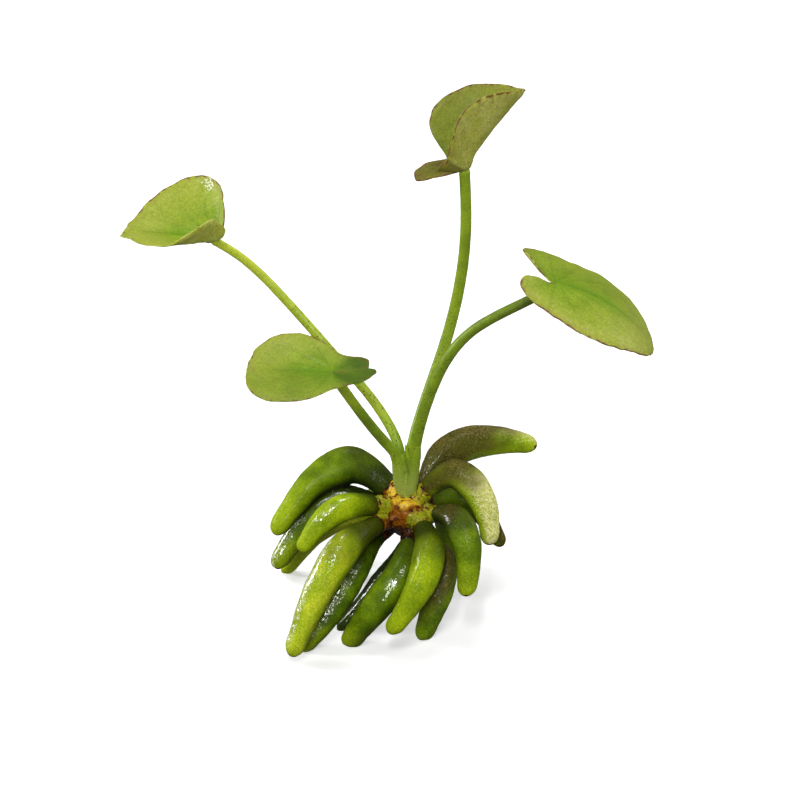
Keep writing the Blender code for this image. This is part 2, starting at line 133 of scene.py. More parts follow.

# Where water on a root sparkles: the side that it is on, how wide a streak it is, the shares of
# the length between which it lies, and how much it sparkles. There it is glossy and has pale
# flecks that are painted sparkles. A thin film is all over.
WATER_FILM = 0.04
Shine = namedtuple("Shine", "root side width start end amount")
SHINES = (
    Shine("front_left", (-1.0, -0.3, 0.3), 0.34, 0.2, 1.02, 1.0),
    Shine("front_left", (-0.2, -0.6, 0.8), 0.12, 0.05, 0.7, 0.6),
    Shine("front_left_low", (0.1, -0.8, 0.6), 0.16, 0.25, 0.95, 0.8),
    Shine("front_mid", (0.3, -0.8, 0.6), 0.1, -0.05, 1.05, 0.9),
    Shine("front_mid", (-0.9, -0.2, 0.5), 0.1, 0.0, 0.7, 0.85),
    Shine("left_mid", (-0.8, -0.5, 0.5), 0.24, 0.5, 1.1, 1.0),
    Shine("left_mid", (0.0, -0.6, 0.9), 0.14, 0.0, 0.5, 0.6),
    Shine("left_front", (-0.2, -0.6, 0.8), 0.12, 0.2, 0.75, 0.8),
    Shine("left_high", (0.3, -0.9, 0.4), 0.1, -0.1, 0.3, 0.4),
    Shine("front_right", (-0.9, -0.5, 0.6), 0.16, 0.3, 0.85, 0.3),
    Shine("right_front", (-0.6, -0.6, 0.6), 0.1, 0.0, 0.6, 0.4),
    Shine("front_low", (0.3, -0.9, 0.5), 0.14, 0.1, 0.8, 0.6),
    Shine("right_back", (-0.4, -0.8, 0.5), 0.24, -0.1, 0.3, 0.7),
    Shine("right_high", (-0.3, -0.8, 0.6), 0.08, 0.1, 0.6, 0.3),
    Shine("under", (0.0, -0.6, 0.8), 0.2, 0.0, 1.0, 0.8),
    Shine("back_left", (-0.6, 0.6, 0.7), 0.2, 0.1, 0.8, 0.7),
    Shine("back", (0.3, 0.8, 0.6), 0.2, 0.1, 0.8, 0.6),
)

# A root starts a little thinner than its neck, is full at one share of its length, loses a share
# of its width from another on, and rounds off from the last.
ROOT_START = 0.9
SWOLLEN_AT = 0.36
TAPER_AT = 0.42
TAPER = 0.4
TIP_AT = 0.9

# It is slightly flat-sided, and has lumps of these heights and sizes.
ROOT_FLATTENING = 0.035
ROOT_LUMPS = ((0.16, 5.0), (0.07, 1.8), (0.03, 0.8))
ROOT_SIDES = 72
ROOT_RINGS = 104
TIP_RINGS = 14

# The crown's lump, turned round its axis: (radius, height above its middle), top to bottom.
CROWN_PROFILE = (
    (0.0, 3.5), (2.6, 3.7), (3.5, 3.3), (4.0, 2.2), (4.2, 0.0), (3.7, -2.4), (2.4, -4.4), (0.0, -5.4),
)

# Its top begins at a height, is yellow out to a radius, and has arcs at a spacing. The stubs of
# some roots are swollen and green.
CROWN_TOP = 22.6
YELLOW_RADIUS = 4.25
ARC_SPACING = 0.75
GREEN_STUBS = ("left_front", "right_front", "front_right", "right_high", "right_mid", "left_mid", "back",
               "back_left")

# The sheath's body: (half width, height above the surface). The stalks' bases and a young leaf
# grow out of it.
SHEATH_BODY = (
    (0.3, 24.5), (0.9, 24.6), (1.5, 25.0), (1.85, 25.7), (1.95, 27.0), (1.85, 29.0), (1.5, 31.0),
    (1.1, 33.0),
)
YOUNG_LEAF = ((0.1, -1.0, 31.5), (0.0, -1.7, 34.5), (-0.1, -1.7, 37.2))
BASE_TONE = 0.42

# Stalks: the places that their centre lines pass on the way up to their blades, their widths,
# their tones near the bottom and at the top, and how speckled they are. The left front stalk's
# lighter top is painted light against the shadow of its blade.
Stalk = namedtuple("Stalk", "name places base_width tip_width tone tone_at_top dots")
STALKS = (
    Stalk("left_back",
          ((-1.2, 1.3, 34.0), (-3.1, 4.5, 38.0), (-12.2, 12.5, 47.5), (-25.8, 20.0, 60.8),
           (-33.4, 21.5, 67.8)), 2.0, 1.7, 0.72, 1.0, 1.0),
    Stalk("left_front",
          ((-1.6, -1.3, 34.0), (-3.1, -2.0, 36.6), (-9.3, -7.0, 47.3)), 2.1, 1.9, 0.22, 0.8, 0.5),
    Stalk("middle",
          ((1.1, 1.3, 34.0), (2.2, 3.5, 38.4), (7.9, 10.0, 54.5), (11.6, 13.0, 75.6)),
          2.4, 2.1, 0.46, 0.46, 0.7),
    Stalk("right",
          ((1.4, -1.3, 34.0), (4.3, -4.5, 48.5), (11.6, -7.0, 62.9), (23.4, -8.0, 70.7)),
          2.4, 1.8, 0.34, 0.02, 0.7),
)
STALK_SIDES = 28
STALK_RINGS = 120

# How a blade is coloured; pairs are for its left and its right half. Olive browns it. Painted
# shade darkens it where shade falls, and lobes puts painted shade on its lobes. Pale yellows it
# towards the margin. Rim is how much of the margin is purple-brown. Wet makes one patch shine, with
# painted sparkles, at a bearing and a share of the way to the edge.
BladeLook = namedtuple("BladeLook", "olive deep lobes pale rim wet wet_at")

# Blades, each at the top of the stalk of its name. Left and right are those of someone who looks
# along the midrib from the stalk. Reach is how far the edge is from the stalk: along the midrib,
# and on either side at each of the bearings from it and then beside the notch between the lobes.
# Rise is how steeply the blade goes up in those directions once it has left the stalk. Notches
# are the angles from the lobes' inner edges to straight back. Rounding is how far from the stalk
# the blade has taken on its rise.
BEARINGS = (35, 70, 105, 140)
Blade = namedtuple("Blade", "name at towards face reach_tip reach_left reach_right "
                            "rise_tip rise_left rise_right droop notches rounding look")
BLADES = (
    Blade("left_back", (-38.8, 21.4, 71.6), (-0.92, 0.17, 0.02), (0.15, 0, 0.93),
          18, (17.6, 14, 9.5, 6, 1.5), (17, 15, 9, 4, 2.5),
          0, (8, 15, 55, 55, 60), (20, 45, 65, 75, 65), 0, (12, 12), 4,
          BladeLook(0.0, (0.0, 0.0), 0.0, (0.6, 0.7), (0.2, 0.9), 1.0, (-76, 0.88))),
    Blade("left_front", (-14.1, -9.9, 56.3), (-1, 0, 0.03), (0, 0, 1),
          16.5, (16.5, 10, 7.5, 10.5, 6.5), (16, 11, 7, 8.5, 5.5),
          5, (0, -5, 5, 18, 20), (15, 20, 10, 5, 0), 10, (6, 6), 4,
          BladeLook(0.0, (0.4, 0.15), 0.9, (0.3, 0.7), (0.3, 0.7), 0.0, (0, 0))),
    Blade("middle", (11.1, 12.5, 89.9), (0.6, 0.3, 0.7), (-0.75, 0, 0.65),
          19, (15, 9, 4.5, 10, 8), (14.5, 10, 6.2, 6.5, 4.8),
          5, (50, 75, 60, 40, 34), (40, 50, 58, 54, 50), 10, (8, 10), 2,
          BladeLook(0.6, (0.0, 0.0), 1.5, (0.3, 0.3), (0.9, 0.9), 0.0, (0, 0))),
    Blade("right", (28.6, -8.0, 73.9), (0.95, -0.03, -0.17), (0.19, 0.04, 0.91),
          23.5, (19, 11.5, 11, 10, 6.5), (19.5, 14, 11, 9.5, 5.8),
          0, (5, 10, 15, 25, 40), (-5, -15, -10, 6, 28), 50, (26, 14), 4,
          BladeLook(0.0, (0.2, 0.0), 0.0, (0.2, 1.0), (0.4, 0.9), 0.0, (0, 0))),
)
BLADE_THICKNESS = 0.6
BLADE_SPOKES = 201
BLADE_RINGS = 54

# The ridge that the midrib makes below, and the side veins: where each starts, and how far it
# bends towards the midrib, in degrees.
KEEL_DEPTH = 0.75
SIDE_VEINS = ((14, 9), (30, 12), (50, 12), (76, 10), (106, 6), (138, 2))

# Where a root's skin is fuller than its solid: the side, the shares of the length between which
# it is, and by how much.
Fuller = namedtuple("Fuller", "side start end amount")
FULLER = {
    "left_high": Fuller((0.2, -0.5, -1.0), -0.2, 0.6, 1.3),
    "left_mid": Fuller((-1.0, 0.0, -0.2), 0.5, 1.2, 0.6),
    "left_low": Fuller((-0.3, 0.0, 1.0), 0.1, 1.2, 0.7),
    "front_left": Fuller((-1.0, 0.0, 0.4), 0.3, 1.0, -0.4),
    "front_left_low": Fuller((1.0, -0.2, 0.3), 0.3, 1.0, 0.4),
    "front_mid": Fuller((1.0, -0.3, -0.6), 0.2, 1.1, 0.8),
    "front_low": Fuller((-1.0, -0.3, 0.0), 0.3, 1.2, 0.8),
    "right_front": Fuller((1.0, 0.0, 0.3), 0.0, 1.1, 0.4),
    "right_back": Fuller((0.0, -0.4, -1.0), 0.1, 0.9, 0.6),
}


def crown_axis():
    """Where the crown's upright axis stands in the frame, in millimetres."""
    low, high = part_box("sheath")
    middle = (low + high) / (2 * MM)
    return np.array([middle.x + SHEATH_OFFSET, middle.y, 0.0])


AXIS = crown_axis()
SEED_STEP = (13.7, 5.3, 9.1)
LINE_POINTS = 800


def smooth(x):
    """0 up to 0, 1 from 1 on, and a smooth step between."""
    x = np.clip(x, 0.0, 1.0)
    return x * x * (3 - 2 * x)


def after(value, start, soft):
    """A smooth step from 0 to 1 over a soft stretch that begins at the start."""
    return smooth((value - start) / soft)


def before(value, end, soft):
    """A smooth step from 1 to 0 over a soft stretch that stops at the end."""
    return smooth((end - value) / soft)


def mix(first, second, share):
    return first * (1 - share) + second * share


def stretch(share, start, end, soft):
    """1 between two shares and 0 outside them, with soft ends just inside."""
    return after(share, start, soft) * before(share, end, soft)


def ridge(distance, width):
    """1 at no distance, and next to nothing from twice a width on."""
    return np.exp(-(distance / width) ** 2)


def unit(direction):
    direction = np.asarray(direction, float)
    return direction / np.linalg.norm(direction)


def lumps(points, size, seed):
    """Smooth noise from about -1 to 1 at some points, with lumps of about a size."""
    shift = Vector([seed * step for step in SEED_STEP])
    values = [noise.noise(Vector(point) / size + shift) for point in points.reshape(-1, 3)]
    return np.array(values).reshape(points.shape[:-1])


def spline(knots, values, wanted):
    """The natural cubic spline that takes the rows of values at the knots, at the wanted places."""
    knots = np.asarray(knots, float)
    last = len(knots) - 1
    system = np.eye(last + 1)
    bend = np.zeros_like(values)
    step = np.diff(knots)
    for i in range(1, last):
        system[i, i - 1:i + 2] = step[i - 1], 2 * (step[i - 1] + step[i]), step[i]
        bend[i] = 6 * ((values[i + 1] - values[i]) / step[i] - (values[i] - values[i - 1]) / step[i - 1])
    second = np.linalg.solve(system, bend)
    i = np.clip(np.searchsorted(knots, wanted, side="right") - 1, 0, last - 1)
    h = step[i][..., None]
    a = (knots[i + 1] - wanted)[..., None] / h
    b = (wanted - knots[i])[..., None] / h
    curve = ((a**3 - a) * second[i] + (b**3 - b) * second[i + 1]) * h * h / 6
    return a * values[i] + b * values[i + 1] + curve


def lengths_along(points):
    return np.concatenate([[0.0], np.cumsum(np.linalg.norm(np.diff(points, axis=0), axis=1))])


def smooth_line(places, shares):
    """The points at some shares of the length of a smooth line through the places, and its length."""
    places = np.array(places, float)
    knots = lengths_along(places)
    fine = spline(knots, places, np.linspace(0, knots[-1], LINE_POINTS))
    lengths = lengths_along(fine)
    wanted = np.asarray(shares) * lengths[-1]
    return np.stack([np.interp(wanted, lengths, fine[:, k]) for k in range(3)], axis=-1), lengths[-1]


def ring_directions(points, sides):
    """Unit vectors out of a line at each of its points, turned as little as possible along it."""
    tangents = np.gradient(points, axis=0)
    tangents /= np.linalg.norm(tangents, axis=1)[:, None]
    up = Vector((0, 0, 1)) if abs(tangents[0][2]) < 0.9 else Vector((0, 1, 0))
    angles = np.linspace(0, 2 * math.pi, sides, endpoint=False)
    out = np.empty((len(points), sides, 3))
    for ring, tangent in enumerate(map(Vector, tangents)):
        side = tangent.cross(up).normalized()
        up = side.cross(tangent).normalized()
        out[ring] = np.cos(angles)[:, None] * np.array(side) + np.sin(angles)[:, None] * np.array(up)
    return out, angles


def new_object(name, data):
    made = bpy.data.objects.new(name, data)
    bpy.context.scene.collection.objects.link(made)
    return made


def mesh_object(name, vertices, faces):
    """An object whose mesh is given in millimetres around the crown's axis."""
    mesh = bpy.data.meshes.new(name)
    mesh.from_pydata(((vertices + AXIS) * MM).tolist(), [], faces)
    mesh.shade_smooth()
    return new_object(name, mesh)


def ring_faces(rings, sides):
    """Faces between rings of vertices, and fans to the pole vertices after the last ring."""
    faces = []
    last = (rings - 1) * sides
    pole = rings * sides
    for k in range(sides):
        beside = (k + 1) % sides
        for base in range(0, last, sides):
            faces.append((base + k, base + sides + k, base + sides + beside, base + beside))
        faces.append((pole, k, beside))
        faces.append((pole + 1, last + beside, last + k))
    return faces


def closed_tube(name, grid):
    """A closed skin over a grid of rings, with a pole in the middle of each end."""
    rings, sides = grid.shape[:2]
    poles = [grid[0].mean(axis=0), grid[-1].mean(axis=0)]
    return mesh_object(name, np.concatenate([grid.reshape(-1, 3), poles]), ring_faces(rings, sides))


def set_masks(made, masks):
    """Stores one number for each vertex and mask, which the materials read."""
    for name, values in masks.items():
        layer = made.data.attributes.new(name, "FLOAT", "POINT")
        layer.data.foreach_set("value", np.asarray(values, np.float32).ravel())


def set_tube_masks(made, masks):
    """The same for a closed tube, whose poles take the mean of their ring."""
    set_masks(made, {name: np.concatenate([values.ravel(), [values[0].mean(), values[-1].mean()]])
                     for name, values in masks.items()})


def finish_piece(made, surface):
    """Puts a skin in place of the node that it is named after."""
    made.data.materials.append(surface)
    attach(made, "root")
    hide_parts(made.name.removesuffix("_skin"))


# Materials

def connect(tree, value, socket):
    if isinstance(value, bpy.types.NodeSocket):
        tree.links.new(value, socket)
    else:
        socket.default_value = value


def feed(tree, node, **inputs):
    """Sets or links a node's inputs by their names, with _ in place of a space."""
    for key, value in inputs.items():
        connect(tree, value, node.inputs[key.replace("_", " ")])


def add_node(tree, kind, settings=None, **inputs):
    made = tree.nodes.new("ShaderNode" + kind)
    for key, value in (settings or {}).items():
        setattr(made, key, value)
    feed(tree, made, **inputs)
    return made


def new_surface(name, **inputs):
    """A material, its node tree and its shader, with what is the same all over its surface."""
    surface = bpy.data.materials.new(name)
    surface.use_nodes = True
    shader = surface.node_tree.nodes["Principled BSDF"]
    feed(surface.node_tree, shader, **inputs)
    return surface, surface.node_tree, shader


def colour(red, green, blue):
    """A colour from its 0 to 255 screen values."""
    def linear(value):
        value /= 255
        return value / 12.92 if value <= 0.04045 else ((value + 0.055) / 1.055) ** 2.4
    return (linear(red), linear(green), linear(blue), 1.0)


def mask(tree, name):
    return add_node(tree, "Attribute", {"attribute_name": name}).outputs["Fac"]


def position(tree):
    return add_node(tree, "TexCoord").outputs["Object"]


def grain(tree, size, detail=2.0):
    """Noise from 0 to 1 with features of about a size in millimetres."""
    return add_node(tree, "TexNoise", Vector=position(tree), Scale=1 / (size * MM),
                    Detail=detail).outputs["Fac"]


def maths(tree, operation, *values):
    made = add_node(tree, "Math", {"operation": operation})
    for value, socket in zip(values, made.inputs):
        connect(tree, value, socket)
    return made.outputs[0]


def times(tree, first, second):
    return maths(tree, "MULTIPLY", first, second)


def varied(tree, value, pattern, amount):
    """A value that a 0 to 1 pattern moves up or down by up to half an amount."""
    return maths(tree, "SUBTRACT", maths(tree, "MULTIPLY_ADD", pattern, amount, value), amount / 2)


def between(tree, value, low, high, to_low=0.0, to_high=1.0):
    """A smooth step from one value to another while the input goes from low to high."""
    return add_node(tree, "MapRange", {"interpolation_type": "SMOOTHSTEP"}, Value=value,
                    From_Min=low, From_Max=high, To_Min=to_low, To_Max=to_high).outputs[0]


def blend(tree, share, first, second):
    made = add_node(tree, "Mix", {"data_type": "RGBA"})
    for value, place in ((share, 0), (first, 6), (second, 7)):
        connect(tree, value, made.inputs[place])
    return made.outputs[2]


def tinted(tree, base, name, share, shade):
    """A colour that goes towards a shade by a share of what a mask says."""
    return blend(tree, times(tree, mask(tree, name), share), base, shade)


def colour_ramp(tree, value, stops):
    made = add_node(tree, "ValToRGB", Fac=value)
    ramp = made.color_ramp
    while len(ramp.elements) < len(stops):
        ramp.elements.new(0.5)
    for element, (position, shade) in zip(ramp.elements, stops):
        element.position = position
        element.color = shade
    return made.outputs["Color"]


def bump(tree, height, distance, **below):
    """Relief from a 0 to 1 pattern, on top of any relief below it."""
    made = add_node(tree, "Bump", Height=height, Distance=distance * MM, **below)
    return made.outputs["Normal"]


def shaded(tree, base, pattern, low, high):
    """A colour made darker and lighter by a 0 to 1 pattern."""
    value = between(tree, pattern, 0.0, 1.0, low, high)
    return add_node(tree, "HueSaturation", Color=base, Value=value).outputs["Color"]


def root_surface():
    """Green skin with a fine grain, browner and purple where its masks say, darker with painted shade near
    the crown and underneath, and water on it with painted sparkles.
    """
    surface, tree, shader = new_surface(
        "root_skin", Roughness=0.55, Specular_IOR_Level=0.12, Coat_Roughness=0.05, Coat_IOR=1.9,
        Subsurface_Weight=0.1, Subsurface_Radius=(0.8, 1.0, 0.2), Subsurface_Scale=0.5 * MM)
    fine = grain(tree, 0.34, detail=1.0)
    grains = between(tree, fine, 0.36, 0.64)
    spots = between(tree, grain(tree, 0.8), 0.34, 0.66)
    patches = between(tree, grain(tree, 3.5), 0.32, 0.68)
    tone = varied(tree, mask(tree, "tone"), patches, 0.2)
    base = colour_ramp(tree, tone, (
        (0.0, colour(30, 40, 2)), (0.3, colour(78, 106, 4)), (0.55, colour(122, 152, 8)),
        (0.8, colour(168, 192, 16)), (1.0, colour(208, 222, 40))))
    base = tinted(tree, base, "lime", 0.8, colour(190, 214, 26))
    pale = mask(tree, "pale")
    granules = times(tree, between(tree, varied(tree, pale, fine, 1.4), 0.35, 1.05), pale)
    straw = blend(tree, spots, colour(214, 216, 108), colour(246, 242, 168))
    base = blend(tree, granules, base, straw)
    # Painted shade: darker near the crown and on the underside.
    base = tinted(tree, base, "dark", 0.92, colour(30, 40, 2))
    purple = mask(tree, "purple")
    ragged = between(tree, varied(tree, purple, fine, 0.7), 0.05, 0.95)
    ragged = times(tree, ragged, between(tree, purple, 0.0, 0.3))
    plum = blend(tree, grains, colour(70, 56, 20), colour(116, 100, 48))
    plum = blend(tree, times(tree, patches, 0.5), plum, colour(56, 50, 10))
    base = blend(tree, times(tree, ragged, 0.9), base, plum)
    scar = varied(tree, mask(tree, "scar"), spots, 0.9)
    base = blend(tree, between(tree, scar, 0.5, 0.95), base, colour(90, 50, 12))
    # The pale flecks on the wet streaks are painted sparkles; the same mask sets the glossy coat.
    wet = mask(tree, "wet")
    glints = between(tree, grain(tree, 0.24), 0.36, 0.64)
    clumps = between(tree, grain(tree, 1.2), 0.36, 0.6, 0.5, 1.0)
    painted_sparkles = varied(tree, times(tree, wet, clumps), glints, 1.0)
    base = blend(tree, between(tree, painted_sparkles, 0.95, 1.15), base, colour(246, 248, 216))
    relief = bump(tree, fine, 0.07, Normal=bump(tree, spots, 0.04))
    water = bump(tree, grain(tree, 0.5, detail=1.0), 0.08)
    feed(tree, shader, Base_Color=shaded(tree, base, grains, 0.84, 1.12), Normal=relief,
         Coat_Normal=water, Coat_Weight=wet)
    return surface


def crown_surface():
    """Amber with a yellow top, brown arcs and specks, olive green stubs, near black below."""
    surface, tree, shader = new_surface(
        "crown_skin", Roughness=0.5, Specular_IOR_Level=0.15, Coat_Weight=0.7, Coat_Roughness=0.06,
        Subsurface_Weight=0.15, Subsurface_Radius=(1.0, 0.5, 0.1), Subsurface_Scale=0.5 * MM)
    fine = grain(tree, 0.34)
    grains = between(tree, fine, 0.36, 0.64)
    spots = between(tree, grain(tree, 1.1, detail=3.0), 0.34, 0.66)
    amber = blend(tree, spots, colour(146, 78, 2), colour(190, 112, 6))
    yellow = blend(tree, spots, colour(255, 216, 60), colour(240, 172, 16))
    green = blend(tree, spots, colour(136, 146, 8), colour(198, 204, 36))
    base = blend(tree, mask(tree, "yellow"), amber, yellow)
    base = blend(tree, mask(tree, "green"), base, green)
    # Browner and darker where the brown mask says: scars, arcs, specks, rust, and towards the bottom.
    browning = varied(tree, mask(tree, "brown"), spots, 0.9)
    base = blend(tree, between(tree, browning, 0.1, 0.5), base, colour(116, 58, 4))
    brown = blend(tree, grains, colour(18, 8, 2), colour(58, 28, 6))
    base = blend(tree, between(tree, browning, 0.45, 0.85), base, brown)
    relief = bump(tree, fine, 0.06, Normal=bump(tree, spots, 0.14))
    feed(tree, shader, Base_Color=shaded(tree, base, grains, 0.82, 1.12), Normal=relief, Coat_Normal=relief)
    return surface


def stalk_surface():
    """Green stems, paler and yellower where their masks say, with small brown speckles."""
    surface, tree, shader = new_surface(
        "stalk_skin", Roughness=0.45, Specular_IOR_Level=0.25, Coat_Weight=0.3, Coat_Roughness=0.22,
        Subsurface_Weight=0.2, Subsurface_Radius=(0.8, 1.0, 0.2), Subsurface_Scale=0.5 * MM)
    fine = grain(tree, 0.3)
    patches = between(tree, grain(tree, 2.6), 0.32, 0.68)
    tone = varied(tree, mask(tree, "tone"), patches, 0.16)
    base = colour_ramp(tree, tone, (
        (0.0, colour(90, 112, 12)), (0.35, colour(132, 162, 22)), (0.7, colour(172, 196, 36)),
        (1.0, colour(206, 220, 60))))
    base = tinted(tree, base, "pale", 0.8, colour(176, 190, 92))
    cells = add_node(tree, "TexVoronoi", Vector=position(tree), Scale=1 / (0.62 * MM))
    dot = between(tree, cells.outputs["Distance"], 0.3, 0.18)
    chance = add_node(tree, "SeparateColor", Color=cells.outputs["Color"]).outputs[0]
    chosen = times(tree, dot, between(tree, chance, 0.8, 0.7))
    base = tinted(tree, base, "dots", chosen, colour(88, 66, 14))
    relief = bump(tree, fine, 0.05)
    grains = between(tree, fine, 0.36, 0.64)
    feed(tree, shader, Base_Color=shaded(tree, base, grains, 0.9, 1.1), Normal=relief, Coat_Normal=relief)
    return surface


def upper_face(tree, spots, patches, deep):
    """Leaf green, brighter at the heart, deeper along the veins, and darker with painted shade where its
    mask says.
    """
    plain = blend(tree, patches, colour(138, 160, 30), colour(158, 176, 44))
    pale = blend(tree, spots, colour(168, 180, 60), colour(188, 194, 84))
    base = blend(tree, mask(tree, "pale"), plain, pale)
    for name, share, shade in (("heart", 0.9, colour(116, 166, 2)), ("olive", 0.7, colour(126, 118, 34)),
                               ("deep", 1.0, deep), ("vein", 0.4, colour(84, 116, 4))):
        base = tinted(tree, base, name, share, shade)
    return base


def lower_face(tree, patches, deep):
    """Paler grey-green, partly its own colour and partly painted light through the leaf, with rusty spots
    on an olive blade and a green keel.
    """
    base = blend(tree, patches, colour(190, 194, 80), colour(212, 212, 118))
    rusty = times(tree, between(tree, grain(tree, 0.9), 0.58, 0.7), 0.8)
    for name, share, shade in (("deep", 0.8, deep), ("olive", rusty, colour(150, 108, 50)),
                               ("vein", 0.15, colour(114, 130, 34)), ("keel", 0.8, colour(148, 184, 20)),
                               ("olive", 0.4, colour(150, 140, 56))):
        base = tinted(tree, base, name, share, shade)
    return base


def blade_surface():
    """Both faces of a leaf, purple-brown at the margin, with a patch of water that has painted sparkles."""
    surface, tree, shader = new_surface(
        "blade_skin", Specular_IOR_Level=0.25, Coat_Weight=0.08, Coat_Roughness=0.25,
        Subsurface_Weight=0.6, Subsurface_Radius=(0.9, 1.0, 0.35), Subsurface_Scale=1.2 * MM)
    fine = grain(tree, 0.4, detail=1.0)
    grains = between(tree, fine, 0.36, 0.64)
    spots = between(tree, grain(tree, 1.2, detail=3.0), 0.34, 0.66)
    patches = between(tree, grain(tree, 4.5), 0.32, 0.68)
    # The colour of the painted shade, browner on an olive blade.
    deep = blend(tree, mask(tree, "olive"), colour(72, 104, 8), colour(128, 102, 40))
    base = blend(tree, mask(tree, "under"), upper_face(tree, spots, patches, deep),
                 lower_face(tree, patches, deep))
    edge = mask(tree, "edge")
    blush = times(tree, between(tree, edge, 2.4, 0.0), spots)
    base = tinted(tree, base, "rim", times(tree, blush, 0.5), colour(146, 122, 54))
    brim = varied(tree, times(tree, between(tree, edge, 0.6, 0.0), mask(tree, "rim")), spots, 0.9)
    brim = times(tree, between(tree, brim, 0.35, 0.8), 0.8)
    base = blend(tree, brim, base, colour(108, 62, 40))
    # The pale flecks on the wet patch are painted sparkles; the patch is also glossier and more bumpy.
    wet = mask(tree, "wet")
    painted_sparkles = between(tree, varied(tree, wet, grains, 1.0), 0.9, 1.2)
    base = blend(tree, painted_sparkles, base, colour(236, 244, 200))
    relief = bump(tree, times(tree, fine, between(tree, wet, 0.0, 1.0, 1.0, 4.0)), 0.05)
    feed(tree, shader, Base_Color=shaded(tree, base, grains, 0.88, 1.1), Normal=relief,
         Coat_Normal=relief, Roughness=between(tree, wet, 0.0, 1.0, 0.6, 0.12))
    return surface


# Storage roots

def root_shares():
    """How far along a root its rings lie: even along the body, then closing in on the tip."""
    body = np.linspace(0, TIP_AT, ROOT_RINGS)
    turn = np.linspace(0, math.pi / 2, TIP_RINGS + 1)[1:]
    return np.concatenate([body, TIP_AT + (1 - TIP_AT) * np.sin(turn)])


def root_line(root, shares):
    return smooth_line([root.neck_at, root.shoulder, root.belly, root.tip], shares)


def root_girth(share, neck):
    """A root's radius as a share of its largest: a narrow neck, a full belly, a blunt tip."""
    swell = neck + (1 - neck) * after(share, 0, SWOLLEN_AT)
    taper = 1 - TAPER * after(share, TAPER_AT, 1 - TAPER_AT)
    into_tip = np.maximum(0.0, share - TIP_AT) / (1 - TIP_AT)
    return swell * taper * np.sqrt(np.maximum(0.0, 1 - into_tip**2))


def root_wetness_and_sparkle(root, share, out):
    """How wet a root is, which sets its coat and its painted sparkles: a film all over, and the streaks
    where it sparkles.
    """
    wet = np.full(share.shape, WATER_FILM)
    for shine in SHINES:
        if shine.root == root.name:
            streak = after(out @ unit(shine.side), 1 - shine.width, 0.12)
            wet = np.maximum(wet, shine.amount * stretch(share, shine.start, shine.end, 0.12) * streak)
    return wet


def root_masks(root, points, length, share, out, wobble):
    """What the root's material reads, from the root's look and from each vertex's place on it."""
    look = root.look
    up = out[..., 2]
    away = points[:, :2] / np.linalg.norm(points[:, :2], axis=1)[:, None]
    outer = smooth(0.8 + 0.75 * (out[..., :2] * away[:, None]).sum(axis=-1))
    lime = after(share + wobble, look.lime_from, 1 - look.lime_from)
    purple = after(share, look.purple_from, 0.2) * before(share, look.purple_to + wobble, 0.4)
    above = smooth(up + wobble + 0.3 + 2.5 * max(0.0, look.purple - 1))
    # Painted shade near the crown and on the underside, where shade falls.
    painted_crown_shade = look.dark * before(share, look.dark_to + wobble, 0.4)
    painted_underside_shade = look.below * before(up, 0.15 + wobble, 0.75)
    near_neck = before(share * length, 0.5, 0.5)
    near_tip = before((1 - share) * length, 0.7 + 3 * wobble, 0.4) * before(up, 0.8, 0.5)
    return {
        "tone": np.full(share.shape, look.tone),
        "pale": look.pale * outer * after(share + wobble, 0.2, 0.3),
        "lime": look.lime * lime,
        "purple": np.minimum(1, look.purple * purple * above * mix(0.35, 1.0, outer)),
        "dark": 1 - (1 - painted_crown_shade) * (1 - painted_underside_shade),
        "scar": np.maximum(0.8 * near_neck, 0.9 * near_tip),
        "wet": root_wetness_and_sparkle(root, share, out),
    }


def add_root(root, seed, surface):
    shares = root_shares()
    points, length = root_line(root, shares)
    out, angles = ring_directions(points, ROOT_SIDES)
    radii = root.width / 2 * root_girth(shares, root.neck)
    radii *= mix(ROOT_START, 1.0, after(shares * length, 0, 0.8))
    flats = 4 + seed % 2
    turned = flats * (angles + 0.5 * shares[:, None]) + 1.7 * seed
    flattening = ROOT_FLATTENING * stretch(shares, 0, 1, 0.15)
    rings = radii[:, None] * (1 + flattening[:, None] * np.cos(turned))
    if root.name in FULLER:
        fuller = FULLER[root.name]
        along = stretch(shares, fuller.start, fuller.end, 0.2)
        rings = rings + fuller.amount * np.clip(out @ unit(fuller.side), 0, 1) * along[:, None]
    grid = points[:, None] + out * rings[..., None]
    relief = sum(height * lumps(grid, size, seed) for height, size in ROOT_LUMPS)
    grid = grid + out * (relief * np.minimum(1, radii / 1.2)[:, None])[..., None]
    grid[..., 2] = np.maximum(grid[..., 2], 0.0)
    made = closed_tube(f"root_{root.name}_skin", grid)
    share = np.broadcast_to(shares[:, None], rings.shape)
    wobble = 0.12 * lumps(grid, 4.0, seed + 40)
    set_tube_masks(made, root_masks(root, points, length, share, out, wobble))
    finish_piece(made, surface)


# Crown and sheath

def remeshed(name, parts, voxel, smoothing):
    """One closed skin round some overlapping closed parts, with its creases softened."""
    work = bmesh.new()
    for part in parts:
        work.from_mesh(part.data)
        bpy.data.objects.remove(part)
    mesh = bpy.data.meshes.new(name)
    work.to_mesh(mesh)
    work.free()
    made = new_object(name, mesh)
    remesh = made.modifiers.new("remesh", "REMESH")
    remesh.mode = "VOXEL"
    remesh.voxel_size = voxel * MM
    soften = made.modifiers.new("soften", "SMOOTH")
    soften.iterations = smoothing
    soften.factor = 0.5
    shape = made.evaluated_get(bpy.context.evaluated_depsgraph_get())
    made.data = bpy.data.meshes.new_from_object(shape)
    made.modifiers.clear()
    made.data.name = name
    made.data.shade_smooth()
    return made


